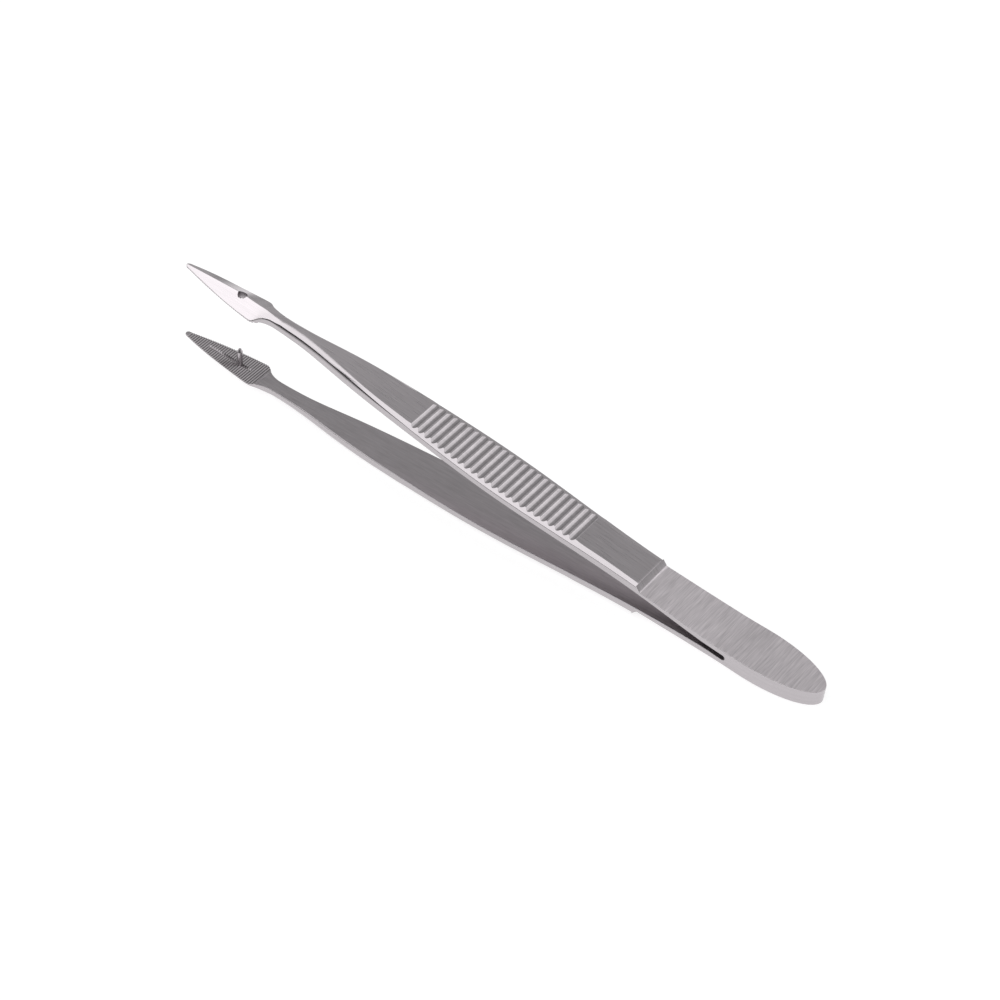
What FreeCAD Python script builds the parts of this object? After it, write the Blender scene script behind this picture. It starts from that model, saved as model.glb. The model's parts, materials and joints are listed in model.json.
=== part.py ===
import FreeCAD, Part
import math
import os

os.makedirs("parts", exist_ok=True)

# Splinter tweezers in stainless steel: two spring arms welded at the butt, and a guide pin.
# Millimetres. While it is drawn, x runs from the tips to the butt and z = 0 is the weld plane.
# At the end the whole object is laid down as it rests, with the lower arm on the surface.

# Lengths along an arm, one after the other from the tip to the butt
jaw_length = 14.5
neck_length = 3.4
front_length = 24.6
rib_pitch = 1.19
rib_count = 24
plain_length = 10.5
spring_length = 14.85
weld_length = 13.59

# Widths of an arm, seen from above, in the same order
tip_width = 0.84
jaw_width = 4.75
jaw_end_width = 3.52
shoulder_foot_width = 2.5
neck_width = 2.2
front_width = 4.5
grip_front_width = 6.4
grip_width = 7.56
grip_back_width = 6.76
step_width = 6.36
butt_width = 7.2

# Roundings of that outline
shoulder_length = 1.2
jaw_bulge = 0.24
butt_round_length = 10.4

# Clear gap between the two inner faces, with the tweezers open at rest
tip_gap = 13.3
jaw_gap = 12.5
grip_front_gap = 9.36
grip_back_gap = 4.72
step_gap = 2.9
spring_gap = 1.5
slot_gap = 0.5

# Thickness of an arm, inner face to outer face
tip_thickness = 0.34
crown_thickness = 1.59
jaw_thickness = 1.46
neck_thickness = 1.5
front_thickness = 1.78
grip_front_thickness = 1.42
grip_back_thickness = 1.3
step_thickness = 1.36
step_foot_thickness = 0.5
spring_thickness = 0.83
slot_thickness = 1.0
butt_thickness = 1.3
step_run = 0.7

# Bevels along the outer edges, and the roof-shaped outside of the jaw
bevel_width = 0.62
bevel_drop = 0.27
front_bevel_width = 0.55
front_bevel_drop = 0.5
neck_bevel_drop = 0.47
tip_edge_height = 0.17
jaw_edge_height = 0.3
ridge_width = 0.06
flat_width_at_shoulder = 1.7
neck_flat_width = 0.7

# Ribbed grip
rib_groove_radius = 0.55
rib_groove_depth = 0.27

# Gripping pad inside each jaw
pad_rise = 0.18
serration_pitch = 0.39
serration_width = 0.28
serration_depth = 0.13
pad_groove_start = 4.3
pad_groove_length = 8.2
pad_groove_width = 0.5
pad_groove_depth = 0.22

# Guide pin in the lower jaw and its hole in the upper jaw
pin_from_tip = 10.2
pin_diameter = 0.85
pin_height = 2.9
pin_cone_height = 0.45
pin_cone_diameter = 0.4
pin_seat_depth = 0.75
pin_clearance = 0.3

# Places along the arm that follow from the lengths
shoulder_x = jaw_length - shoulder_length
neck_x = jaw_length + neck_length
front_quarter_x = neck_x + front_length / 4
front_middle_x = neck_x + front_length / 2
grip_front_x = neck_x + front_length
grip_back_x = grip_front_x + rib_count * rib_pitch
grip_middle_x = (grip_front_x + grip_back_x) / 2
step_x = grip_back_x + plain_length
spring_middle_x = step_x + spring_length / 2
slot_x = step_x + spring_length
arm_length = slot_x + weld_length
butt_round_x = arm_length - butt_round_length

# How far a cutting shape reaches past the steel, and how often a search halves its range
cut_margin = 3.0
halvings = 60


def side_point(x, z):
    return FreeCAD.Vector(x, 0, z)


def plan_point(x, y):
    return FreeCAD.Vector(x, y, 0)


def spline(points):
    curve = Part.BSplineCurve()
    curve.interpolate(points)
    return curve


def level_spline(points):
    """A curve that runs along the arm at both its ends."""
    along = FreeCAD.Vector(1, 0, 0)
    curve = Part.BSplineCurve()
    curve.interpolate(Points=points, InitialTangent=along, FinalTangent=along)
    return curve


def point_at(curve, x):
    """The point where a curve that runs towards the butt passes x."""
    low = curve.FirstParameter
    high = curve.LastParameter
    for _ in range(halvings):
        middle = (low + high) / 2
        if curve.value(middle).x < x:
            low = middle
        else:
            high = middle
    return curve.value(low)


def inner_curve():
    """Inner face of the upper arm, from the jaw to the end of the slot."""
    return spline([
        side_point(jaw_length, jaw_gap / 2),
        side_point(grip_front_x, grip_front_gap / 2),
        side_point(grip_back_x, grip_back_gap / 2),
        side_point(step_x, step_gap / 2),
        side_point(spring_middle_x, spring_gap / 2),
        side_point(slot_x, slot_gap / 2),
    ])


def pad_height(x):
    """Height of the pad's flat gripping face, a straight line from tip to jaw end."""
    end = jaw_gap / 2 - pad_rise
    return tip_gap / 2 + (end - tip_gap / 2) * x / jaw_length


def ridge_height(x):
    """Height of the ridge along the back of the jaw, a straight line from the tip to the crown."""
    tip = tip_gap / 2 + tip_thickness
    crown = pad_height(pin_from_tip) + crown_thickness
    return tip + (crown - tip) * x / pin_from_tip


def outer_curve(inner):
    """Flat outer face, from the crown of the jaw, where the hole is, to the step."""
    return spline([
        side_point(pin_from_tip, ridge_height(pin_from_tip)),
        side_point(shoulder_x, pad_height(shoulder_x) + jaw_thickness),
        side_point(neck_x, point_at(inner, neck_x).z + neck_thickness),
        side_point(front_middle_x, point_at(inner, front_middle_x).z + front_thickness),
        side_point(grip_front_x, grip_front_gap / 2 + grip_front_thickness),
        side_point(grip_back_x, grip_back_gap / 2 + grip_back_thickness),
        side_point(step_x, step_gap / 2 + step_thickness),
    ])


def spring_curve():
    """Outer face of the thin spring stretch, from the foot of the step to the flat butt."""
    return spline([
        side_point(step_x + step_run, step_gap / 2 + step_foot_thickness),
        side_point(spring_middle_x, spring_gap / 2 + spring_thickness),
        side_point(slot_x, slot_gap / 2 + slot_thickness),
        side_point(butt_round_x, butt_thickness),
    ])


def side_prism(inner, outer):
    """Side view of an arm, drawn out across more than its full width."""
    spring = spring_curve()
    slot_radius = slot_gap / 2
    diagonal = slot_radius * math.sin(math.radians(45))
    tip_low = side_point(0, pad_height(0))
    tip_top = side_point(0, ridge_height(0))
    pad_end = side_point(jaw_length, pad_height(jaw_length))
    slot_top = side_point(slot_x, slot_radius)
    slot_middle = side_point(slot_x + diagonal, diagonal)
    slot_end = side_point(slot_x + slot_radius, 0)
    butt_low = side_point(arm_length, 0)
    butt_top = side_point(arm_length, butt_thickness)
    edges = [
        Part.makeLine(tip_low, pad_end),
        Part.makeLine(pad_end, inner.value(inner.FirstParameter)),
        inner.toShape(),
        Part.Arc(slot_top, slot_middle, slot_end).toShape(),
        Part.makeLine(slot_end, butt_low),
        Part.makeLine(butt_low, butt_top),
        Part.makeLine(butt_top, spring.value(spring.LastParameter)),
        spring.toShape(),
        Part.makeLine(spring.value(spring.FirstParameter), outer.value(outer.LastParameter)),
        outer.toShape(),
        Part.makeLine(outer.value(outer.FirstParameter), tip_top),
        Part.makeLine(tip_top, tip_low),
    ]
    face = Part.Face(Part.Wire(Part.__sortEdges__(edges)))
    face.translate(FreeCAD.Vector(0, -grip_width, 0))
    return face.extrude(FreeCAD.Vector(0, 2 * grip_width, 0))


def blade_outline():
    """Far long edge of the arm from above, from the narrow neck to the rounded butt."""
    return level_spline([
        plan_point(neck_x, neck_width / 2),
        plan_point(front_middle_x, front_width / 2),
        plan_point(grip_front_x, grip_front_width / 2),
        plan_point(grip_middle_x, grip_width / 2),
        plan_point(grip_back_x, grip_back_width / 2),
        plan_point(step_x, step_width / 2),
        plan_point(butt_round_x, butt_width / 2),
    ])


def far_edges():
    """The far half of the outline: bowed jaw edge, shoulder running into the neck, and blade."""
    nose = tip_width / 2
    jaw_edge = Part.Arc(
        plan_point(nose, tip_width / 2),
        plan_point((nose + shoulder_x) / 2, (tip_width + jaw_width) / 4 + jaw_bulge),
        plan_point(shoulder_x, jaw_width / 2),
    )
    shoulder = level_spline([
        plan_point(shoulder_x, jaw_width / 2),
        plan_point(jaw_length, jaw_end_width / 2),
        plan_point(jaw_length + neck_length / 3, shoulder_foot_width / 2),
        plan_point(neck_x, neck_width / 2),
    ])
    return [jaw_edge.toShape(), shoulder.toShape(), blade_outline().toShape()]


def plan_prism():
    """The outline of the arm from above, as a tall prism."""
    nose = tip_width / 2
    tip_arc = Part.Arc(plan_point(nose, -nose), plan_point(0, 0), plan_point(nose, nose))
    ellipse = Part.Ellipse(plan_point(butt_round_x, 0), butt_round_length, butt_width / 2)
    butt_arc = Part.Arc(ellipse, -math.pi / 2, math.pi / 2)
    centre_line = FreeCAD.Vector(0, 0, 0)
    across = FreeCAD.Vector(0, 1, 0)
    far = far_edges()
    near = [edge.mirror(centre_line, across) for edge in far]
    edges = [tip_arc.toShape()] + far + [butt_arc.toShape()] + near
    face = Part.Face(Part.Wire(Part.__sortEdges__(edges)))
    face.translate(FreeCAD.Vector(0, 0, -cut_margin))
    return face.extrude(FreeCAD.Vector(0, 0, tip_gap + 2 * cut_margin))


def bevel_section(x, flat, wall, top, wall_top):
    """Cross-section of what a bevel grinds away, above a slope from the flat's edge to the wall."""
    slope = (top - wall_top) / (wall - flat)
    reach = wall + cut_margin
    points = [
        FreeCAD.Vector(x, flat, top),
        FreeCAD.Vector(x, reach, top - slope * (reach - flat)),
        FreeCAD.Vector(x, reach, top + cut_margin),
        FreeCAD.Vector(x, flat, top + cut_margin),
    ]
    return Part.makePolygon(points + points[:1])


def bevel_cutters(outer):
    """Three joined cutters: the jaw's front facet, its shoulder, and the long bevel of the blade."""
    outline = blade_outline()
    pin_wall = (tip_width + (jaw_width - tip_width) * pin_from_tip / shoulder_x) / 2

    def blade_section(x, width, drop):
        wall = point_at(outline, x).y
        top = point_at(outer, x).z
        return bevel_section(x, wall - width, wall, top, top - drop)

    tip = bevel_section(
        -tip_width, ridge_width / 2, tip_width / 2,
        ridge_height(-tip_width), tip_gap / 2 + tip_edge_height)
    hole = bevel_section(
        pin_from_tip, ridge_width / 2, pin_wall,
        ridge_height(pin_from_tip), pad_height(pin_from_tip) + jaw_edge_height)
    shoulder = bevel_section(
        shoulder_x, flat_width_at_shoulder / 2, jaw_width / 2,
        point_at(outer, shoulder_x).z, pad_height(shoulder_x) + jaw_edge_height)
    neck_top = point_at(outer, neck_x).z
    neck = bevel_section(
        neck_x, neck_flat_width / 2, neck_width / 2, neck_top, neck_top - neck_bevel_drop)
    end_wall = point_at(outline, step_x + step_run).y
    end_top = outer.value(outer.LastParameter).z
    end = bevel_section(
        step_x + step_run, end_wall - bevel_width, end_wall, end_top, end_top - bevel_drop)
    quarter = blade_section(front_quarter_x, bevel_width, front_bevel_drop)
    front = blade_section(front_middle_x, front_bevel_width, front_bevel_drop)
    grip = [blade_section(x, bevel_width, bevel_drop) for x in (grip_front_x, grip_middle_x, grip_back_x)]
    blade = [neck, quarter, front] + grip + [end]
    return [
        Part.makeLoft([tip, hole], True, True),
        Part.makeLoft([hole, shoulder, neck], True, False),
        Part.makeLoft(blade, True, False),
    ]


def rib_grooves(outer):
    """Rounded grooves across the grip, each sunk in the outer face."""
    grooves = []
    across = FreeCAD.Vector(0, 1, 0)
    for number in range(rib_count):
        x = grip_front_x + (number + 0.5) * rib_pitch
        z = point_at(outer, x).z + rib_groove_radius - rib_groove_depth
        start = FreeCAD.Vector(x, -grip_width, z)
        grooves.append(Part.makeCylinder(rib_groove_radius, 2 * grip_width, start, across))
    return grooves


def serration_comb():
    """A zigzag comb across the whole pad, standing on the pad's straight face."""
    count = int(jaw_length / serration_pitch) - 2
    half = serration_width / 2
    points = []
    for number in range(count):
        x = jaw_length - (number + 1) * serration_pitch
        points.append(side_point(x + half, pad_height(x + half)))
        points.append(side_point(x, pad_height(x) + serration_depth))
        points.append(side_point(x - half, pad_height(x - half)))
    first = points[0]
    last = points[-1]
    points.append(side_point(last.x, last.z - cut_margin))
    points.append(side_point(first.x, first.z - cut_margin))
    face = Part.Face(Part.makePolygon(points + [first]))
    face.translate(FreeCAD.Vector(0, -jaw_width, 0))
    return face.extrude(FreeCAD.Vector(0, 2 * jaw_width, 0))


def pad_groove():
    """The V groove along the middle of the pad, as a prism laid on the pad's face."""
    half = pad_groove_width / 2

    def section(x):
        z = pad_height(x)
        points = [
            FreeCAD.Vector(x, -half, z),
            FreeCAD.Vector(x, 0, z + pad_groove_depth),
            FreeCAD.Vector(x, half, z),
            FreeCAD.Vector(x, half, z - cut_margin),
            FreeCAD.Vector(x, -half, z - cut_margin),
        ]
        return Part.makePolygon(points + points[:1])

    ends = [section(pad_groove_start), section(pad_groove_start + pad_groove_length)]
    return Part.makeLoft(ends, True, True)


def arm():
    """One arm with its bevels, ribs and pad, as the upper arm lies."""
    inner = inner_curve()
    outer = outer_curve(inner)
    solid = side_prism(inner, outer).common(plan_prism())
    centre_line = FreeCAD.Vector(0, 0, 0)
    across = FreeCAD.Vector(0, 1, 0)
    for cutter in bevel_cutters(outer):
        solid = solid.cut([cutter, cutter.mirror(centre_line, across)])
    solid = solid.cut(rib_grooves(outer))
    solid = solid.cut([serration_comb(), pad_groove()])
    return solid


def mirrored(shape):
    """The same shape on the other side of the weld plane."""
    return shape.mirror(FreeCAD.Vector(0, 0, 0), FreeCAD.Vector(0, 0, 1))


def pin_axis():
    """Foot of the pin on the upper pad, and the direction square to that pad, into the jaw."""
    foot = side_point(pin_from_tip, pad_height(pin_from_tip))
    run = FreeCAD.Vector(jaw_length, 0, pad_height(jaw_length) - pad_height(0))
    direction = FreeCAD.Vector(-run.z, 0, run.x)
    return foot, direction.normalize()


def guide_hole():
    foot, direction = pin_axis()
    radius = pin_diameter / 2 + pin_clearance
    start = foot - direction * cut_margin
    return Part.makeCylinder(radius, crown_thickness + 2 * cut_margin, start, direction)


def pin_seat():
    foot, direction = pin_axis()
    start = foot - direction * cut_margin
    return Part.makeCylinder(pin_diameter / 2, pin_seat_depth + cut_margin, start, direction)


def guide_pin():
    """The pin as it stands in the lower jaw: shank in its seat, straight body and coned end."""
    foot, direction = pin_axis()
    bottom = foot + direction * pin_seat_depth
    straight = pin_seat_depth + pin_height - pin_cone_height
    body = Part.makeCylinder(pin_diameter / 2, straight, bottom, direction * -1)
    cone = Part.makeCone(
        pin_diameter / 2, pin_cone_diameter / 2, pin_cone_height,
        bottom - direction * straight, direction * -1)
    return mirrored(body.fuse(cone).removeSplitter())


def resting_tilt(lower):
    """Angle that brings the belly of the lower arm and its butt down onto one surface."""
    steepest = max(
        (-vertex.Point.z - butt_thickness) / (arm_length - vertex.Point.x)
        for vertex in lower.Vertexes if vertex.Point.x < slot_x)
    return math.degrees(math.atan(steepest))


def lay_down(shapes, tilt):
    """Turn the object by its resting tilt, and centre it on the surface."""
    for shape in shapes:
        shape.rotate(FreeCAD.Vector(0, 0, 0), FreeCAD.Vector(0, 1, 0), tilt)
    box = Part.makeCompound(shapes).optimalBoundingBox()
    for shape in shapes:
        shape.translate(FreeCAD.Vector(-box.Center.x, -box.Center.y, -box.ZMin))


blank = arm()
nodes = {
    "upper_arm": blank.cut(guide_hole()).Solids[0],
    "lower_arm": mirrored(blank.cut(pin_seat())).Solids[0],
    "guide_pin": guide_pin().Solids[0],
}
tilt_angle = resting_tilt(nodes["lower_arm"])
lay_down(list(nodes.values()), tilt_angle)
print("arm length", round(arm_length, 3), "resting tilt", round(tilt_angle, 3))
for name, shape in nodes.items():
    shape.exportStep("parts/" + name + ".step")
    print(name, shape.ShapeType, "valid", shape.isValid(), "volume", round(shape.Volume, 2))
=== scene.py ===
import json
import math

import bmesh
import bpy
import numpy as np
from mathutils import Matrix, Vector
from mathutils.bvhtree import BVHTree


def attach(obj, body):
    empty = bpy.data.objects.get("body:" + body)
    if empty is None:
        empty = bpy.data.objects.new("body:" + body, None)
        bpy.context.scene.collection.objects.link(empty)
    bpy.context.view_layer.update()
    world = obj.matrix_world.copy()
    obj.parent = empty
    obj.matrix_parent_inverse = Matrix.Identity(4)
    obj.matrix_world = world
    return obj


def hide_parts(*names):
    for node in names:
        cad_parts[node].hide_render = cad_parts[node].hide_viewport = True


# The arms are drawn in millimetres, each in its own upright frame: x runs from the tips to the
# butt, y across, and z = 0 is the weld plane. lay_down() turns that frame into the object's.
MM = 0.001

# Places along an arm
JAW_END = 14.5
SHOULDER = 13.3
NECK = 17.9
GRIP_FRONT = 42.5
RIB_PITCH = 1.19
RIB_COUNT = 24
GRIP_BACK = GRIP_FRONT + RIB_COUNT * RIB_PITCH
STEP = GRIP_BACK + 10.5
STEP_FOOT = STEP + 0.7
SLOT = STEP + 14.85
BUTT_ROUND = 99.6
ARM_LENGTH = 110.0
PIN_PLACE = 10.2
BUTT_MOUNT_PLACE = (104.0, 0.0, -1.3)

# Round and cut features
NOSE_RADIUS = 0.42
SLOT_RADIUS = 0.45
SLOT_BACK = SLOT + 0.25
PAD_BACK_SLOPE = 0.11
BUTT_HALF_WIDTH = 3.6
RIB_HALF_WIDTH = 0.473
RIB_DEPTH = 0.17
SERRATION_PITCH = 0.39
SERRATION_COUNT = 35
SERRATION_HALF_WIDTH = 0.14
SERRATION_DEPTH = 0.13
PAD_GROOVE_WIDTH = 0.5
PAD_GROOVE_DEPTH = {4.3: 0, 4.5: 0.2, 6.4: 0.22, 7.6: 0.36, 11.2: 0.36, 12.2: 0.16, 12.5: 0}
RIDGE_HALF_WIDTH = 0.03
HOLE_RADIUS = 0.76
HOLE_RADIUS_AT_PAD = 0.5

# How far polishing has rounded the edges, by place along an arm
WALL_EDGE = {0: 0.04, 13: 0.05, 15: 0.22, 18: 0.42, 31: 0.42, 37: 0.22, 42: 0.1, 80: 0.1,
             82: 0.08, 110: 0.08}
FLAT_EDGE = {0: 0.03, 12: 0.04, 15: 0.14, 19: 0.48, 24: 0.46, 28: 0.34, 33: 0.1, 38: 0.06, 110: 0.05}
INNER_EDGE = {0: 0.03, 14.5: 0.04, 17: 0.16, 22: 0.24, 34: 0.2, 42: 0.1, 94: 0.08, 96: 0, 110: 0}

# How far it has narrowed the flat outer face, and lowered the top of the side wall
FLAT_LOSS = {18: -0.2, 22: -0.05, 34: 0, 40: 0.06, 42: 0.06, 43: 0.22, 71: 0.22, 72: 0.08, 81.4: 0.08}
WALL_LOSS = {18: 0, 21: 0.12, 26: 0.14, 34: 0.08, 40: 0.03, 42: 0.03, 43: 0.09, 71: 0.09,
             72: 0.03, 81.4: 0.03}

# Where the ridge of the jaw starts to widen, and how far ribs and step are rounded along the arm
RIDGE_END = 14.2
CREST_EDGE = 0.03
STEP_TOP_EDGE = 0.02
STEP_FOOT_EDGE = 0.09

# Limits that keep a cross-section in order where it gets narrow or thin
MOST_FLAT = 0.9
LEAST_DROP = 0.02
LEAST_BEVEL = 0.05
BUTT_RIM = 0.25
MOST_INNER_EDGE = 0.3
MOST_WALL_EDGE = 0.5
MOST_WALL_EDGE_IN = 0.38
CORNER_DROP = 0.3
MOST_FLAT_EDGE_OUT = 0.6
MOST_FLAT_EDGE_IN = 0.8
HOLD_DISTANCE = 0.04
MOST_HOLD = 0.3

# Height above the inner face at which the width of an arm is measured
JAW_WALL_HEIGHT = 0.14
WALL_HEIGHT = 0.25

# Longest distance between the sections of each stretch of an arm
NECK_STEP = 0.22
FRONT_STEP = 0.7
PLAIN_STEP = 0.8
RAMP_STEP = 0.1
SPRING_STEP = 0.6

# How close two points are to be one, the smallest face, where an edge starts to be crisp, and
# how many sides the round hole has
SAME_PLACE = 0.0004
LEAST_FACE = 1e-9
CRISP_ANGLE = math.radians(28)
HOLE_SIDES = 48

# Camera, as the photograph was taken
AIM = Vector((1.944, -0.104, 4.308)) * MM
CAMERA_AZIMUTH = math.radians(35.942)
CAMERA_ELEVATION = math.radians(45.105)
CAMERA_ROLL = math.radians(1.9)
CAMERA_DISTANCE = 435.08 * MM
LENS_MM = 114.47

# Studio
FLOOR_SIZE = 6.0
FLOOR_WHITE = 0.45
FLOOR_GLOW = 0.75
GLOW_BEHIND = (0.14, 0.0)
GLOW_IN_FRONT = (-0.075, -0.035)
SOFTBOX_PLACE = (-0.15, -0.3, 0.6)
SOFTBOX_SIZE = (1.1, 0.75)
SOFTBOX_RADIANCE = 0.8

# The room and its walls, bright to the far right, dim to the left, dark low down in front. Each
# wall has its brightness, and where it starts and is full towards the right, the far side and up
ROOM_GREY = 0.42
WALLS = (
    (1.05, {"right": (-0.05, 0.2), "far": (-0.1, 0.3), "up": (0.25, 0.5)}),
    (0.3, {"right": (-0.42, -0.75), "far": (-0.1, 0.3)}),
    (0.04, {"far": (-0.2, -0.45), "up": (0.58, 0.5)}),
)

# The steel's tint, for a brightness of 1, and the values of a grain's noise over which its gloss
# and its colour change
STEEL_TINT = (1.01, 0.95, 0.985)
NOISE_RANGE = (0.3, 0.7)
COLOUR_RANGE = (0.35, 0.65)

# The turned pin: its brightness, its roughness, and its scratches per metre along x, y and z
PIN_LEVEL = 0.56
PIN_ROUGHNESS = (0.22, 0.34)
PIN_GRAIN = (500, 500, 9000)


def smooth_curve(places, values):
    """The natural cubic curve through the points, as a function of x."""
    x = np.asarray(places, float)
    v = np.asarray(values, float)
    gap = np.diff(x)
    count = len(x)
    system = np.eye(count)
    bends = np.zeros(count)
    for i in range(1, count - 1):
        system[i, i - 1:i + 2] = gap[i - 1], 2 * (gap[i - 1] + gap[i]), gap[i]
        bends[i] = 6 * ((v[i + 1] - v[i]) / gap[i] - (v[i] - v[i - 1]) / gap[i - 1])
    bending = np.linalg.solve(system, bends)

    def value(place):
        i = min(max(int(np.searchsorted(x, place)) - 1, 0), count - 2)
        run = place - x[i]
        slope = (v[i + 1] - v[i]) / gap[i] - gap[i] * (2 * bending[i] + bending[i + 1]) / 6
        turn = (bending[i + 1] - bending[i]) / (6 * gap[i])
        return v[i] + slope * run + bending[i] / 2 * run ** 2 + turn * run ** 3

    return value


def straight_line(places, values):
    """The straight line through two points, as a function of x."""
    slope = (values[1] - values[0]) / (places[1] - places[0])
    return lambda place: values[0] + slope * (place - places[0])


def lay_down(record):
    """From the drawn frame, in millimetres, to the object's frame: found from the mount on the butt."""
    mount = next(m for m in record["mounts"] if m["name"] == "butt_face")
    tilt = Matrix.Rotation(math.atan2(-mount["axis"][0], -mount["axis"][2]), 4, "Y")
    turn = tilt @ Matrix.Scale(MM, 4)
    return Matrix.Translation(Vector(mount["pos_m"]) - turn @ Vector(BUTT_MOUNT_PLACE)) @ turn


class Gauge:
    """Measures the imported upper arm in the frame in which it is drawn."""

    FAR = 50.0

    def __init__(self, cad_arm, to_object):
        back = to_object.inverted()
        points = [back @ vertex.co for vertex in cad_arm.data.vertices]
        self.tree = BVHTree.FromPolygons(points, [tuple(face.vertices) for face in cad_arm.data.polygons])

    def top(self, x, y=0.0):
        return self.tree.ray_cast(Vector((x, y, self.FAR)), Vector((0, 0, -1)))[0].z

    def bottom(self, x, y=0.0):
        return self.tree.ray_cast(Vector((x, y, -self.FAR)), Vector((0, 0, 1)))[0].z

    def side(self, x, z):
        return self.tree.ray_cast(Vector((x, self.FAR, z)), Vector((0, -1, 0)))[0].y

    def bevel(self, x, half_width, flat_guess):
        """Slope of the bevel at x, and half-width of the flat face that it leaves."""
        near = flat_guess + 0.3 * (half_width - flat_guess)
        far = flat_guess + 0.85 * (half_width - flat_guess)
        high = self.top(x, near)
        slope = (high - self.top(x, far)) / (far - near)
        return slope, near - (self.top(x) - high) / slope


class ArmShape:
    """The curves of an arm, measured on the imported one."""

    def __init__(self, gauge):
        crests = [GRIP_FRONT + n * RIB_PITCH for n in (4, 8, 12, 16, 20, 24)]
        flats = [JAW_END - (n + 0.5) * SERRATION_PITCH for n in (2, 31)]
        self.pad_line = straight_line(flats, [gauge.bottom(x) for x in flats])
        places = [14.6, 18, 22, 26, 30, 36, 42, 48, 54, 60, 66, 71, 76, 81.4, 85, 89, 93, 96.3]
        self.inner = smooth_curve(places, [gauge.bottom(x) for x in places])
        places = [1.0, 8.5]
        self.ridge = straight_line(places, [gauge.top(x) for x in places])
        places = [11.3, 12.3, 13.3, 15.5, 17.9, 22, 27, 32, 37, 42.4] + crests + [74, 78, 81.5]
        heights = [self.ridge(PIN_PLACE)] + [gauge.top(x) for x in places]
        self.back = smooth_curve([PIN_PLACE] + places, heights)
        places = [82.3, 84, 86, 89, 92, 96.4, 98, 99.5]
        self.spring = smooth_curve(places, [gauge.top(x) for x in places])
        places = np.linspace(NOSE_RADIUS + 0.1, SHOULDER - 0.05, 8)
        self.jaw_side = smooth_curve(places, [gauge.side(x, self.pad(x) + JAW_WALL_HEIGHT) for x in places])
        places = np.linspace(SHOULDER + 0.02, NECK, 12)
        widths = [gauge.side(x, self.low(x) + WALL_HEIGHT) for x in places]
        self.shoulder_side = smooth_curve(places, widths)
        places = [17.9, 22, 26, 30, 34, 38, 42.5, 47, 52, 57, 62, 67, 71, 76, 81.5, 86, 90, 95, 99.6]
        widths = [gauge.side(x, self.inner(min(x, SLOT)) + WALL_HEIGHT) for x in places]
        self.blade_side = smooth_curve(places, widths)
        self.measure_bevel(gauge, crests)

    def measure_bevel(self, gauge, crests):
        jaw = [1.5, 4, 6.5, 9]
        shoulder = [11.2, 12.1, 13.0, 14.0, 15.1, 16.4, 17.8]
        blade = [20, 23, 26, 30, 34, 38, 42.3] + crests + [76, 81.4]
        rough = straight_line([SHOULDER, NECK], [0.85, 0.35])
        found = [gauge.bevel(x, self.side(x), 0.1) for x in jaw]
        found += [gauge.bevel(x, self.side(x), min(rough(x), 0.6 * self.side(x))) for x in shoulder]
        found += [gauge.bevel(x, self.side(x), self.side(x) - 0.5) for x in blade]
        self.slope = smooth_curve(jaw + shoulder + blade, [slope for slope, flat in found])
        edges = [flat for slope, flat in found[len(jaw):]]
        self.flat_curve = smooth_curve([PIN_PLACE] + shoulder + blade, [RIDGE_HALF_WIDTH] + edges)

    def pad(self, x):
        return self.pad_line(x)

    def outer(self, x):
        """Height of the ridge of the jaw, and behind its hole of the flat outer face."""
        return self.ridge(x) if x < PIN_PLACE else self.back(x)

    def flat(self, x):
        """Half-width of the flat outer face: a mere ridge before the hole."""
        return RIDGE_HALF_WIDTH if x < PIN_PLACE else self.flat_curve(x)

    def foot(self, x):
        """Height at which the bevel meets the side wall."""
        return self.outer(x) - self.slope(x) * (self.side(x) - self.flat(x))

    def low(self, x):
        return self.pad(x) if x <= JAW_END else self.inner(x)

    def side(self, x):
        """Half-width of the arm."""
        if x < SHOULDER:
            return self.jaw_side(x)
        return self.shoulder_side(x) if x < NECK else self.blade_side(x)

    def lean(self, x):
        """Unit vector square to the outline, pointing into the arm."""
        reach = 0.02
        rise = (self.side(x + reach) - self.side(x - reach)) / (2 * reach)
        return Vector((rise, -1)).normalized()


def ramp_top(x, shape):
    """Height of the outer face at x, before any grooves, with a sharp step."""
    if x <= STEP:
        return shape.outer(x)
    if x < STEP_FOOT:
        share = (x - STEP) / (STEP_FOOT - STEP)
        return (1 - share) * shape.outer(STEP) + share * shape.spring(STEP_FOOT)
    return shape.spring(min(x, BUTT_ROUND))


def outer_height(x, shape):
    """Height of the outer face, before any grooves, with its step rounded by polishing."""
    edge = STEP_TOP_EDGE if x < (STEP + STEP_FOOT) / 2 else STEP_FOOT_EDGE
    return sum(ramp_top(x + share * edge, shape) for share in (-1, -0.5, 0, 0.5, 1)) / 5


def groove_depth(x):
    """How deep the grooves are that are cut across the arm at x: in its pad or in its grip."""
    if x < JAW_END:
        return SERRATION_DEPTH
    return RIB_DEPTH if GRIP_FRONT < x < GRIP_BACK else 0.0


def by_place(table, x):
    """What a table gives at x, between the places for which it says it."""
    return float(np.interp(x, list(table), list(table.values())))


def spaced(start, end, step):
    return list(np.linspace(start, end, max(2, math.ceil((end - start) / step) + 1)))


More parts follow.
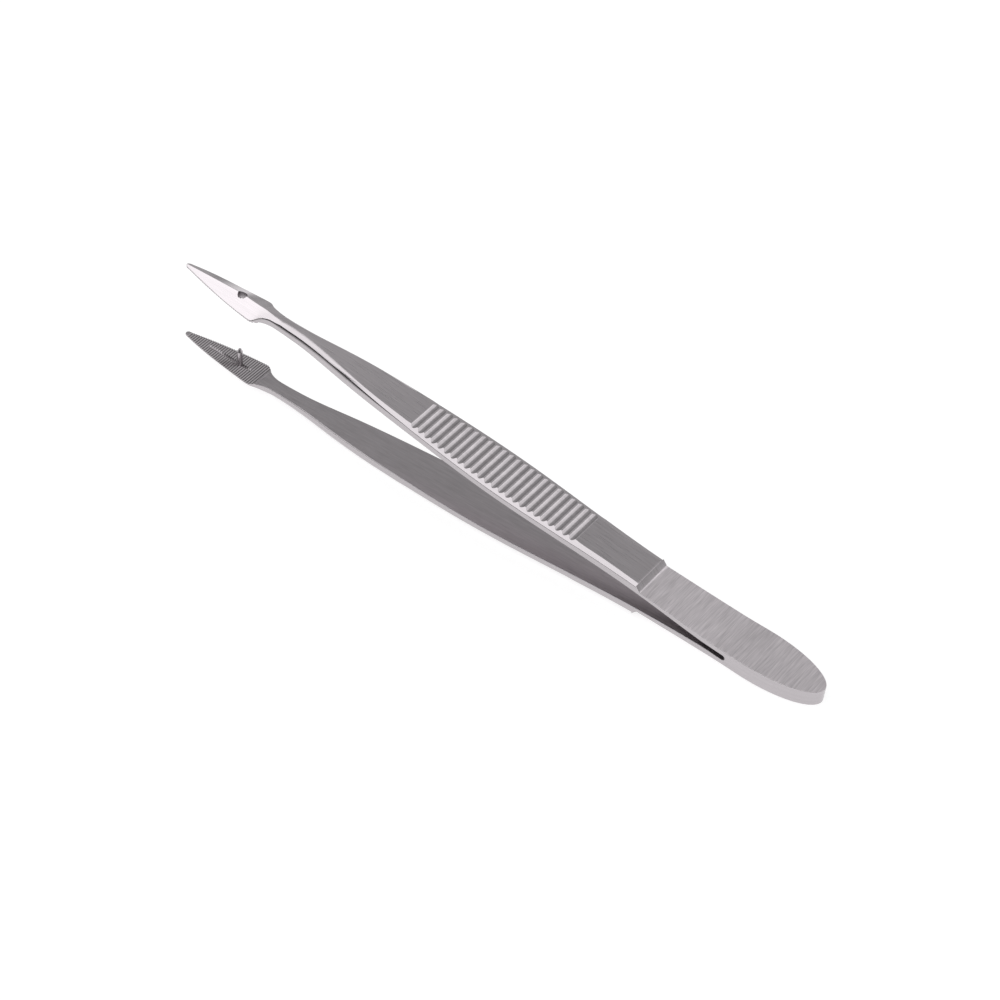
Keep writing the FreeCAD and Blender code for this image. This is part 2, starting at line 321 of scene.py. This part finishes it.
def stations(shape):
    """Where the arm is cut into sections: for each, its point of the outline and the way inwards."""
    cuts = []
    for turn in range(0, 90, 15):
        a = math.radians(turn)
        point = Vector((NOSE_RADIUS * (1 - math.cos(a)), NOSE_RADIUS * math.sin(a)))
        cuts.append((point, Vector((math.cos(a), -math.sin(a)))))
    places = [NOSE_RADIUS]
    for number in range(SERRATION_COUNT, 0, -1):
        middle = JAW_END - number * SERRATION_PITCH
        places += [middle + share * SERRATION_HALF_WIDTH for share in (-1.1, -0.9, 0, 0.9, 1.1)]
    places += [JAW_END + share * PAD_BACK_SLOPE for share in (0, 0.15, 0.5, 0.85, 1)]
    places += spaced(JAW_END + 0.4, NECK, NECK_STEP)
    places += spaced(NECK + FRONT_STEP, GRIP_FRONT, FRONT_STEP)
    lip = RIB_PITCH / 2 - RIB_HALF_WIDTH
    half_rib = [lip - CREST_EDGE, lip, lip + CREST_EDGE, lip + 0.08, lip + 0.16, lip + 0.26, lip + 0.37]
    rib = half_rib + [RIB_PITCH / 2] + [RIB_PITCH - d for d in reversed(half_rib)] + [RIB_PITCH]
    for number in range(RIB_COUNT):
        places += [GRIP_FRONT + number * RIB_PITCH + d for d in rib]
    places += spaced(GRIP_BACK + 0.7, STEP - 0.3, PLAIN_STEP)
    places += [STEP + STEP_TOP_EDGE * d for d in (-1, -0.5, 0, 0.5, 1)]
    places += spaced(STEP + RAMP_STEP, STEP_FOOT - 2 * STEP_FOOT_EDGE, RAMP_STEP)
    places += [STEP_FOOT + STEP_FOOT_EDGE * d for d in (-1, -0.5, 0, 0.5, 1)]
    places += spaced(STEP_FOOT + 0.3, SLOT_BACK - SLOT_RADIUS, SPRING_STEP)
    places += [SLOT_BACK - SLOT_RADIUS * (1 - math.sin(math.radians(turn))) for turn in range(15, 91, 15)]
    places += spaced(SLOT_BACK + 0.3, BUTT_ROUND - 0.3, SPRING_STEP)
    cuts += [(Vector((x, shape.side(x))), shape.lean(x)) for x in places]
    length = ARM_LENGTH - BUTT_ROUND
    for turn in list(range(0, 60, 4)) + list(range(60, 90, 3)) + [90]:
        a = math.radians(turn)
        point = Vector((BUTT_ROUND + length * math.sin(a), BUTT_HALF_WIDTH * math.cos(a)))
        cuts.append((point, -Vector((math.sin(a) / length, math.cos(a) / BUTT_HALF_WIDTH)).normalized()))
    return cuts


def inner_height(x, shape):
    """Height of the inner face: pad, inner curve, end of the slot, and weld plane."""
    if x <= JAW_END:
        return shape.pad(x)
    if x < JAW_END + PAD_BACK_SLOPE:
        share = (x - JAW_END) / PAD_BACK_SLOPE
        return (1 - share) * shape.pad(JAW_END) + share * shape.inner(JAW_END + PAD_BACK_SLOPE)
    past = x - (SLOT_BACK - SLOT_RADIUS)
    if past <= 0:
        return max(shape.inner(x), SLOT_RADIUS)
    return math.sqrt(SLOT_RADIUS ** 2 - past ** 2) if past < SLOT_RADIUS - 1e-4 else 0.0


def bend(start, corner, end, share):
    """A point on the rounded corner between two lines."""
    return start * (1 - share) ** 2 + corner * 2 * share * (1 - share) + end * share ** 2


def held(start, end):
    """Points just inside both ends of a plane strip, so that shading keeps it plane."""
    gap = (end - start).length
    share = min(MOST_HOLD, HOLD_DISTANCE / gap) if gap > 1e-6 else MOST_HOLD
    return [start.lerp(end, share), start.lerp(end, 1 - share)]


def crest_width(x, shape):
    """Half-width of the flat outer face: the ridge runs on past the hole, and widens towards the neck."""
    if x < RIDGE_END:
        return RIDGE_HALF_WIDTH
    if x < NECK:
        share = (x - RIDGE_END) / (NECK - RIDGE_END)
        widest = shape.flat(NECK) - by_place(FLAT_LOSS, NECK)
        return RIDGE_HALF_WIDTH + share * share * (widest - RIDGE_HALF_WIDTH)
    return shape.flat(x) - by_place(FLAT_LOSS, x)


def section(point, inward, shape, cut=0.0):
    """Half of one cross-section, from the middle of the inner face round to the middle of the outer.

    cut is how deep a groove has gone into the pad's inner face or into the grip's outer one."""
    x = point.x
    low = inner_height(x, shape) + (cut if x < JAW_END else 0)
    top = outer_height(x, shape) - (cut if x > JAW_END else 0)
    if x <= STEP:
        flat = min(crest_width(x, shape), MOST_FLAT * point.y)
        foot = shape.foot(x) - by_place(WALL_LOSS, x) if point.y > NOSE_RADIUS / 2 else top - LEAST_DROP
        foot = min(foot, shape.outer(x) - LEAST_DROP)
        slope = (shape.outer(x) - foot) / max(point.y - flat, LEAST_DROP)
        flat = max(min(flat + (shape.outer(x) - top) / slope, point.y - LEAST_BEVEL), 0.0)
        foot = min(foot, top - LEAST_DROP / 4)
    else:
        foot = top
        flat = max(point.y - BUTT_RIM, 0.0)
    run = max(point.y - flat, 0.01)
    slope = (top - foot) / run
    wall = foot - low
    inner_edge = min(by_place(INNER_EDGE, x), MOST_INNER_EDGE * wall)
    wall_edge = min(by_place(WALL_EDGE, x), MOST_WALL_EDGE * wall)
    wall_edge_in = min(by_place(WALL_EDGE, x) / 2, MOST_WALL_EDGE_IN * run)
    corner = foot - CORNER_DROP * wall_edge
    flat_edge = min(by_place(FLAT_EDGE, x), MOST_FLAT_EDGE_OUT * run, MOST_FLAT_EDGE_IN * flat)

    def rim(inset, z):
        place = point + inward * inset
        return Vector((place.x, max(place.y, 0.0), z))

    groove = by_place(PAD_GROOVE_DEPTH, x)
    start = rim(inner_edge, low)
    groove_y = PAD_GROOVE_WIDTH / 2 if groove else 0.3 * start.y
    middle_low = max(low, shape.pad(x) + groove) if groove else low
    points = [Vector((start.x, 0, middle_low)), Vector((start.x, min(groove_y, 0.6 * start.y), low)), start]
    for share in (0.25, 0.5, 0.75, 1):
        points.append(bend(start, rim(0, low), rim(0, low + inner_edge), share))
    wall_top = rim(0, foot - wall_edge)
    points += held(points[-1], wall_top)
    bevel_start = rim(wall_edge_in, foot + slope * wall_edge_in)
    for share in (0, 0.17, 0.33, 0.5, 0.67, 0.83, 1):
        points.append(bend(wall_top, rim(0, corner), bevel_start, share))
    x_in = bevel_start.x
    edge_start = Vector((x_in, flat + flat_edge, top - slope * flat_edge))
    points += held(bevel_start, edge_start)
    edge_end = Vector((x_in, flat - flat_edge, top))
    for share in (0, 0.25, 0.5, 0.75, 1):
        points.append(bend(edge_start, Vector((x_in, flat, top)), edge_end, share))
    points.append(points[-1].lerp(Vector((x_in, 0, top)), min(MOST_HOLD, 0.05 / max(flat, 0.01))))
    points.append(Vector((x_in, 0.5 * (flat - flat_edge), top)))
    points.append(Vector((x_in, 0, top)))
    for p in points:
        p.y = min(p.y, point.y)
    return points


# The finishes of an arm, and how many strips of its skin they take up, counted from the middle of
# the inner face
FINISHES = ["inner", "wall", "bevel", "blade", "butt"]
INNER_STRIPS = 2
WALL_STRIPS = 12
BEVEL_STRIPS = 20


def finish_of(x, column):
    """Which finish a strip of the surface has: an index into the arm's materials."""
    if column < INNER_STRIPS:
        return FINISHES.index("inner")
    if column < WALL_STRIPS:
        return FINISHES.index("wall")
    if x > STEP_FOOT - STEP_FOOT_EDGE:
        return FINISHES.index("butt")
    return FINISHES.index("bevel") if column < BEVEL_STRIPS and x < STEP else FINISHES.index("blade")


def blank_mesh(shape, upward):
    """The skin of one arm before its grooves are cut, drawn section by section.

    upward is 1 for the upper arm, -1 for the lower. Each point keeps its slide: how it moves for
    each millimetre that a groove goes deeper there."""
    mesh = bmesh.new()
    slide = mesh.verts.layers.float_vector.new("slide")
    rings = []
    for point, inward in stations(shape):
        deep = groove_depth(point.x)
        plain = section(point, inward, shape)
        cut = section(point, inward, shape, deep)
        ring = []
        for side, order in ((1, range(len(plain))), (-1, range(len(plain) - 2, 0, -1))):
            turn = Vector((1, side, upward))
            for i in order:
                vertex = mesh.verts.new(plain[i] * turn)
                vertex[slide] = (cut[i] - plain[i]) * turn / deep if deep else Vector((0, 0, 0))
                ring.append(vertex)
        rings.append(ring)
    size = len(rings[0])
    half_size = size // 2
    for first, second in zip(rings, rings[1:]):
        for i in range(size):
            j = (i + 1) % size
            face = mesh.faces.new((first[i], second[i], second[j], first[j]))
            column = i if i < half_size else size - 1 - i
            face.material_index = finish_of((first[i].co.x + second[i].co.x) / 2, column)
    bmesh.ops.remove_doubles(mesh, verts=mesh.verts, dist=SAME_PLACE)
    loose = [f for f in mesh.faces if f.calc_area() < LEAST_FACE]
    bmesh.ops.delete(mesh, geom=loose, context="FACES_ONLY")
    bmesh.ops.recalc_face_normals(mesh, faces=mesh.faces)
    return mesh


def keep_edges_crisp(data):
    """Smooth shading, but for edges that turn by more than a rounded one does."""
    mesh = bmesh.new()
    mesh.from_mesh(data)
    for face in mesh.faces:
        face.smooth = True
    for edge in mesh.edges:
        edge.smooth = len(edge.link_faces) != 2 or edge.calc_face_angle() < CRISP_ANGLE
    mesh.to_mesh(data)
    mesh.free()


def groove_row():
    """Node tree that cuts a row of equal grooves across an arm, one after the other along x.

    A groove's profile is 1 - (distance / Half Width) ^ Roundness: 1 cuts a V, 2 a round groove."""
    tree = bpy.data.node_groups.new("row_of_grooves", "GeometryNodeTree")
    tree.interface.new_socket("Geometry", in_out="OUTPUT", socket_type="NodeSocketGeometry")
    for name, kind in (("Geometry", "Geometry"), ("First", "Float"), ("Pitch", "Float"), ("Count", "Int"),
                       ("Half Width", "Float"), ("Depth", "Float"), ("Roundness", "Float"),
                       ("Lip Softness", "Float"), ("Finish Before", "Int"), ("Finish", "Material")):
        tree.interface.new_socket(name, in_out="INPUT", socket_type="NodeSocket" + kind)
    given = tree.nodes.new("NodeGroupInput").outputs

    def calculate(operation, *values):
        return math_node(tree, operation, *values)

    def stored(name, kind):
        attribute = tree.nodes.new("GeometryNodeInputNamedAttribute")
        attribute.data_type = kind
        attribute.inputs["Name"].default_value = name
        return attribute.outputs["Attribute"]

    position = tree.nodes.new("GeometryNodeInputPosition").outputs[0]
    place = node(tree, "ShaderNodeSeparateXYZ", Vector=position)
    along = calculate("DIVIDE", calculate("SUBTRACT", place.outputs["X"], given["First"]), given["Pitch"])
    last = calculate("SUBTRACT", given["Count"], 1.0)
    number = calculate("MAXIMUM", calculate("MINIMUM", calculate("ROUND", along), last), 0.0)
    away = calculate("ABSOLUTE", calculate("SUBTRACT", along, number))
    distance = calculate("MULTIPLY", away, given["Pitch"])
    curve = calculate("POWER", calculate("DIVIDE", distance, given["Half Width"]), given["Roundness"])
    share = calculate("SMOOTH_MAX", calculate("SUBTRACT", 1.0, curve), 0.0, given["Lip Softness"])

    slide = stored("slide", "FLOAT_VECTOR")
    offset = times(tree, slide, calculate("MULTIPLY", share, given["Depth"]))
    moved = node(tree, "GeometryNodeSetPosition", Geometry=given["Geometry"], Offset=offset)

    # How far each point went into a cut, kept in cut_share for the painted shade deep in the grooves
    reach = tree.nodes.new("ShaderNodeVectorMath")
    reach.operation = "LENGTH"
    tree.links.new(slide, reach.inputs[0])
    painted_groove_shade = calculate("MULTIPLY", share, reach.outputs["Value"])
    painted_groove_shade = calculate("MAXIMUM", painted_groove_shade, stored("cut_share", "FLOAT"))
    marked = node(tree, "GeometryNodeStoreNamedAttribute", Geometry=moved.outputs[0], Name="cut_share",
                  Value=painted_groove_shade)

    inside = calculate("LESS_THAN", away, 0.5)
    finish_now = tree.nodes.new("GeometryNodeInputMaterialIndex").outputs[0]
    finish = calculate("COMPARE", finish_now, given["Finish Before"], 0.5)
    joined = node(tree, "GeometryNodeRealizeInstances", Geometry=marked.outputs[0])
    painted = node(tree, "GeometryNodeSetMaterial", Geometry=joined.outputs[0], Material=given["Finish"],
                   Selection=calculate("MULTIPLY", inside, finish))
    out = tree.nodes.new("NodeGroupOutput")
    tree.links.new(painted.outputs[0], out.inputs[0])
    return tree


def cut_grooves(piece, tree, **inputs):
    """Adds a row of grooves to the piece, with the tree's inputs given by name."""
    row = piece.modifiers.new("row of grooves", "NODES")
    row.node_group = tree
    for socket in tree.interface.items_tree:
        if socket.in_out == "INPUT" and socket.name.replace(" ", "_") in inputs:
            row[socket.identifier] = inputs[socket.name.replace(" ", "_")]


def hole_cutter(shape):
    """A slightly tapered bar through the upper jaw, square to its pad."""
    slope = shape.pad(1) - shape.pad(0)
    thick = shape.outer(PIN_PLACE) - shape.pad(PIN_PLACE)
    taper = (HOLE_RADIUS - HOLE_RADIUS_AT_PAD) / thick
    start, end = -0.5 * thick, 2 * thick
    bpy.ops.mesh.primitive_cone_add(
        vertices=HOLE_SIDES, depth=end - start, radius1=HOLE_RADIUS_AT_PAD + taper * start,
        radius2=HOLE_RADIUS_AT_PAD + taper * end)
    bar = bpy.context.object
    bar.data.transform(
        Matrix.Translation((PIN_PLACE, 0, shape.pad(PIN_PLACE)))
        @ Matrix.Rotation(-math.atan(slope), 4, "Y")
        @ Matrix.Translation((0, 0, (start + end) / 2)))
    return bar


def bore_hole(piece, shape, finish):
    """Adds the guide hole to the piece, and returns the bar that cuts it."""
    bar = hole_cutter(shape)
    bar.data.materials.append(finish)
    cut = piece.modifiers.new("guide hole", "BOOLEAN")
    cut.operation = "DIFFERENCE"
    cut.solver = "EXACT"
    cut.material_mode = "TRANSFER"
    cut.object = bar
    return bar


def arm_piece(name, cad_node, shape, upward, to_object, materials, grooves):
    """One arm as it is seen: skin, grooves, guide hole if it is the upper one, and finishes."""
    data = bpy.data.meshes.new(name)
    mesh = blank_mesh(shape, upward)
    mesh.to_mesh(data)
    mesh.free()
    piece = bpy.data.objects.new(name, data)
    bpy.context.scene.collection.objects.link(piece)
    for finish in FINISHES:
        data.materials.append(materials[finish])
    cut_grooves(piece, grooves, First=GRIP_FRONT + RIB_PITCH / 2, Pitch=RIB_PITCH, Count=RIB_COUNT,
                Half_Width=RIB_HALF_WIDTH, Depth=RIB_DEPTH, Roundness=2.0, Lip_Softness=0.15,
                Finish_Before=FINISHES.index("blade"), Finish=materials["rib"])
    cut_grooves(piece, grooves, First=JAW_END - SERRATION_COUNT * SERRATION_PITCH, Pitch=SERRATION_PITCH,
                Count=SERRATION_COUNT, Half_Width=SERRATION_HALF_WIDTH, Depth=SERRATION_DEPTH,
                Roundness=1.0, Lip_Softness=0.1,
                Finish_Before=FINISHES.index("inner"), Finish=materials["pad"])
    bars = [bore_hole(piece, shape, materials["hole"])] if upward > 0 else []
    graph = bpy.context.evaluated_depsgraph_get()
    done = bpy.data.meshes.new_from_object(piece.evaluated_get(graph))
    piece.modifiers.clear()
    piece.data = done
    for bar in bars:
        bpy.data.objects.remove(bar)
    keep_edges_crisp(piece.data)
    place = piece.data.attributes.new("drawn_place", "FLOAT_VECTOR", "POINT")
    for vertex, stored in zip(piece.data.vertices, place.data):
        stored.vector = vertex.co
    piece.data.transform(to_object)
    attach(piece, "root")
    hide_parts(cad_node)
    return piece


def put(tree, socket, value):
    """Sets a node's input to a value, or joins it to another node's output."""
    if isinstance(value, bpy.types.NodeSocket):
        tree.links.new(value, socket)
    else:
        socket.default_value = value


def node(tree, kind, **inputs):
    """A node with its inputs put by name."""
    made = tree.nodes.new(kind)
    for name, value in inputs.items():
        put(tree, made.inputs[name.replace("_", " ")], value)
    return made


def math_node(tree, operation, *values):
    """The result of a calculation with the values."""
    made = tree.nodes.new("ShaderNodeMath")
    made.operation = operation
    for socket, value in zip(made.inputs, values):
        put(tree, socket, value)
    return made.outputs[0]


def times(tree, vector, amount):
    """The vector, or the colour, times an amount."""
    made = tree.nodes.new("ShaderNodeVectorMath")
    made.operation = "SCALE"
    put(tree, made.inputs[0], vector)
    put(tree, made.inputs["Scale"], amount)
    return made.outputs[0]


def new_material(name):
    material = bpy.data.materials.new(name)
    material.use_nodes = True
    material.node_tree.nodes.clear()
    return material, material.node_tree


def spread_out(tree, value, start, end, low, high):
    """low where value is at start, high where it is at end, and even in between."""
    spread = node(tree, "ShaderNodeMapRange", Value=value, From_Min=start, From_Max=end,
                  To_Min=low, To_Max=high)
    return spread.outputs[0]


def scaled(tree, colour, value, start, end, goal):
    """colour, brought to the share goal of it as value goes from start to end."""
    return times(tree, colour, spread_out(tree, value, start, end, 1.0, goal))


def tinted(level):
    """The steel's colour at a level of brightness."""
    return (*(level * share for share in STEEL_TINT), 1)


def steel(name, dark, light, roughness, spread, grain, depth,
          stretch=0.0, across=(0, 1, 0), painted_groove_shade=0.0, painted_shading=()):
    """Steel with a grain: fine parallel scratches that change its colour, gloss and surface.

    The painted groove shade darkens what lies deep in the cuts. The painted shading along the arm is
    given as stretches, each by its two ends and the share of its brightness that the steel keeps at
    the second one: painted shade where that share is below 1, a painted highlight where it is above."""
    material, tree = new_material(name)
    place = tree.nodes.new("ShaderNodeAttribute")
    place.attribute_name = "drawn_place"
    lines = []
    for share, detail in ((1.0, 2.0), (0.31, 3.0)):
        scale = tuple(share * g for g in grain)
        turned = node(tree, "ShaderNodeMapping", Vector=place.outputs["Vector"], Scale=scale)
        noise = node(tree, "ShaderNodeTexNoise", Vector=turned.outputs[0], Scale=1.0, Detail=detail)
        lines.append(noise.outputs["Fac"])
    scratch = math_node(tree, "MULTIPLY_ADD", lines[0], 0.5, math_node(tree, "MULTIPLY", lines[1], 0.5))
    colour = tree.nodes.new("ShaderNodeValToRGB")
    tree.links.new(scratch, colour.inputs[0])
    for stop, position, level in zip(colour.color_ramp.elements, COLOUR_RANGE, (dark, light)):
        stop.position = position
        stop.color = tinted(level)
    bump = node(tree, "ShaderNodeBump", Height=scratch, Strength=1.0, Distance=depth)
    gloss = spread_out(tree, scratch, *NOISE_RANGE, roughness - spread, roughness + spread)
    shade = colour.outputs[0]
    # Painted shade: the colour darkens where a groove has cut deeper
    if painted_groove_shade:
        cut = tree.nodes.new("ShaderNodeAttribute")
        cut.attribute_name = "cut_share"
        shade = scaled(tree, shade, cut.outputs["Fac"], 0.0, 1.0, 1.0 - painted_groove_shade)
    along = node(tree, "ShaderNodeSeparateXYZ", Vector=place.outputs["Vector"])
    # Painted shade and painted highlight: the colour is scaled stretch by stretch along the arm
    for painted_stretch in painted_shading:
        shade = scaled(tree, shade, along.outputs["X"], *painted_stretch)
    shader = node(tree, "ShaderNodeBsdfPrincipled", Base_Color=shade, Roughness=gloss,
                  Normal=bump.outputs[0], Metallic=1.0)
    if stretch:
        shader.inputs["Anisotropic"].default_value = stretch
        direction = node(tree, "ShaderNodeCombineXYZ", X=across[0], Y=across[1], Z=across[2])
        tree.links.new(direction.outputs[0], shader.inputs["Tangent"])
    out = tree.nodes.new("ShaderNodeOutputMaterial")
    tree.links.new(shader.outputs[0], out.inputs[0])
    return material


def finishes():
    """The steel's finishes: for each its name, the brightness of its dark and light scratches, its
    roughness and how far that varies, its scratches per millimetre along x, y and z, and their
    depth in metres."""
    return {
        # The blade is darker from 20 to 52 mm along the arm, painted shade, and brighter over the step's
        # ramp, a painted highlight
        "blade": steel("satin_blade", 0.59, 0.7, 0.3, 0.05, (0.4, 11, 0), 4e-6,
                       painted_shading=((20, 52, 0.76), (STEP, STEP_FOOT, 1.25))),
        "inner": steel("satin_inner", 0.45, 0.56, 0.34, 0.05, (0.5, 8, 0), 4e-6),
        "wall": steel("satin_wall", 0.48, 0.52, 0.24, 0.04, (0.2, 0, 8), 1e-6),
        # The bevel is darker from the shoulder to the neck: painted shade
        "bevel": steel("polished_bevel", 0.76, 0.83, 0.18, 0.03, (0.3, 8, 0), 1e-6,
                       painted_shading=((13, 20, 0.79),)),
        # Ribs and pad are painted darker deep in their grooves: painted shade
        "rib": steel("polished_ribs", 0.62, 0.76, 0.22, 0.05, (3, 5, 0), 3e-6, painted_groove_shade=0.25),
        "butt": steel("cross_brushed", 0.6, 0.85, 0.42, 0.06, (12, 0.45, 0), 5e-6,
                      0.5, (1, 0, 0)),
        "pad": steel("matt_pad", 0.42, 0.52, 0.32, 0.05, (3, 3, 0), 3e-6, painted_groove_shade=0.8),
        "hole": steel("drilled_hole", 0.4, 0.5, 0.4, 0.05, (2, 2, 9), 3e-6),
    }


def pin_steel():
    material, tree = new_material("turned_pin")
    place = tree.nodes.new("ShaderNodeTexCoord")
    rings = node(tree, "ShaderNodeMapping", Vector=place.outputs["Object"], Scale=PIN_GRAIN)
    lines = node(tree, "ShaderNodeTexNoise", Vector=rings.outputs[0], Scale=1.0, Detail=2.0)
    gloss = spread_out(tree, lines.outputs["Fac"], *NOISE_RANGE, *PIN_ROUGHNESS)
    bump = node(tree, "ShaderNodeBump", Height=lines.outputs["Fac"], Strength=1.0, Distance=3e-6)
    shader = node(tree, "ShaderNodeBsdfPrincipled", Base_Color=tinted(PIN_LEVEL), Roughness=gloss,
                  Normal=bump.outputs[0], Metallic=1.0)
    out = tree.nodes.new("ShaderNodeOutputMaterial")
    tree.links.new(shader.outputs[0], out.inputs[0])
    return material


def floor():
    bpy.ops.mesh.primitive_plane_add(size=FLOOR_SIZE)
    plane = bpy.context.object
    plane.name = "floor"
    material, tree = new_material("pale_floor")
    place = tree.nodes.new("ShaderNodeTexCoord")
    parts = node(tree, "ShaderNodeSeparateXYZ", Vector=place.outputs["Object"])
    rays = tree.nodes.new("ShaderNodeLightPath")
    behind = soft_step(tree, parts.outputs["Y"], *GLOW_BEHIND)
    in_front = soft_step(tree, parts.outputs["Y"], *GLOW_IN_FRONT)
    mirrored = product(tree, rays.outputs["Is Glossy Ray"], product(tree, behind, in_front))
    seen = towards(tree, mirrored, 1.0, rays.outputs["Is Camera Ray"])
    strength = product(tree, seen, FLOOR_GLOW)
    matt = node(tree, "ShaderNodeBsdfDiffuse", Color=(FLOOR_WHITE, FLOOR_WHITE, FLOOR_WHITE, 1))
    glow = node(tree, "ShaderNodeEmission", Strength=strength)
    lit = tree.nodes.new("ShaderNodeAddShader")
    tree.links.new(matt.outputs[0], lit.inputs[0])
    tree.links.new(glow.outputs[0], lit.inputs[1])
    out = tree.nodes.new("ShaderNodeOutputMaterial")
    tree.links.new(lit.outputs[0], out.inputs[0])
    plane.data.materials.append(material)


def soft_step(tree, value, start, end):
    """0 where value is at start or before it, 1 from end on, with a soft change between."""
    step = node(tree, "ShaderNodeMapRange", Value=value)
    step.interpolation_type = "SMOOTHSTEP"
    step.inputs["From Min"].default_value = start
    step.inputs["From Max"].default_value = end
    return step.outputs[0]


def product(tree, first, second):
    """The product of two values."""
    return math_node(tree, "MULTIPLY", first, second)


def towards(tree, level, goal, amount):
    """level, moved to goal by amount."""
    blend = tree.nodes.new("ShaderNodeMix")
    blend.data_type = "FLOAT"
    tree.links.new(amount, blend.inputs["Factor"])
    put(tree, blend.inputs["A"], level)
    put(tree, blend.inputs["B"], goal)
    return blend.outputs[0]


def on_wall(tree, direction, reach):
    """1 for the directions that meet a wall, 0 for the others, with a soft change between."""
    amount = 1.0
    for name, (start, full) in reach.items():
        amount = product(tree, amount, soft_step(tree, direction[name], start, full))
    return amount


def room_light():
    """The grey room with its walls, which light the object. The camera sees plain white instead."""
    world = bpy.data.worlds.new("studio")
    bpy.context.scene.world = world
    world.use_nodes = True
    tree = world.node_tree
    tree.nodes.clear()
    place = tree.nodes.new("ShaderNodeTexCoord")
    parts = node(tree, "ShaderNodeSeparateXYZ", Vector=place.outputs["Generated"])
    direction = dict(zip(("right", "far", "up"), parts.outputs))
    level = ROOM_GREY
    for brightness, reach in WALLS:
        level = towards(tree, level, brightness, on_wall(tree, direction, reach))
    lit = node(tree, "ShaderNodeBackground", Color=(1, 1, 1, 1), Strength=level)
    white = node(tree, "ShaderNodeBackground", Color=(1, 1, 1, 1), Strength=1.0)
    rays = tree.nodes.new("ShaderNodeLightPath")
    mix = node(tree, "ShaderNodeMixShader", Fac=rays.outputs["Is Camera Ray"])
    tree.links.new(lit.outputs[0], mix.inputs[1])
    tree.links.new(white.outputs[0], mix.inputs[2])
    out = tree.nodes.new("ShaderNodeOutputWorld")
    tree.links.new(mix.outputs[0], out.inputs[0])


def softbox(name, place, size, radiance):
    """A rectangular lamp that faces the object. radiance is how bright it is where it is seen."""
    lamp = bpy.data.lights.new(name, "AREA")
    lamp.shape = "RECTANGLE"
    lamp.size, lamp.size_y = size
    lamp.energy = radiance * math.pi * size[0] * size[1]
    holder = bpy.data.objects.new(name, lamp)
    holder.location = place
    holder.rotation_euler = (-Vector(place)).to_track_quat("-Z", "Y").to_euler()
    bpy.context.scene.collection.objects.link(holder)


def camera():
    back = Vector((
        math.sin(CAMERA_AZIMUTH) * math.cos(CAMERA_ELEVATION),
        -math.cos(CAMERA_AZIMUTH) * math.cos(CAMERA_ELEVATION),
        math.sin(CAMERA_ELEVATION),
    ))
    right = Vector((math.cos(CAMERA_AZIMUTH), math.sin(CAMERA_AZIMUTH), 0))
    axes = Matrix((right, back.cross(right), back)).transposed()
    data = bpy.data.cameras.new("camera")
    data.lens = LENS_MM
    holder = bpy.data.objects.new("camera", data)
    holder.matrix_world = (
        Matrix.Translation(AIM + back * CAMERA_DISTANCE)
        @ axes.to_4x4()
        @ Matrix.Rotation(CAMERA_ROLL, 4, "Z")
    )
    bpy.context.scene.collection.objects.link(holder)
    bpy.context.scene.camera = holder


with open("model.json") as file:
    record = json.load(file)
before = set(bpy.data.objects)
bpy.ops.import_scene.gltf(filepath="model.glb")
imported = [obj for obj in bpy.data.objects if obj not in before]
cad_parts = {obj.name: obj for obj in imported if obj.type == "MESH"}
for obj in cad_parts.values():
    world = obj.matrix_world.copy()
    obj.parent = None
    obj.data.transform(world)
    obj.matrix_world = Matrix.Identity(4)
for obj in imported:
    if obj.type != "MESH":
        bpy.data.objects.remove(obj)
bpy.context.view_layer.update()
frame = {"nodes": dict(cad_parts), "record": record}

to_object = lay_down(frame["record"])
shape = ArmShape(Gauge(frame["nodes"]["upper_arm"], to_object))
materials = finishes()
grooves = groove_row()
arm_piece("upper_arm_skin", "upper_arm", shape, 1, to_object, materials, grooves)
arm_piece("lower_arm_skin", "lower_arm", shape, -1, to_object, materials, grooves)
pin = frame["nodes"]["guide_pin"]
pin.data.materials.clear()
pin.data.materials.append(pin_steel())

floor()
room_light()
softbox("overhead softbox", SOFTBOX_PLACE, SOFTBOX_SIZE, SOFTBOX_RADIANCE)
camera()

bpy.context.scene.view_settings.view_transform = "Standard"
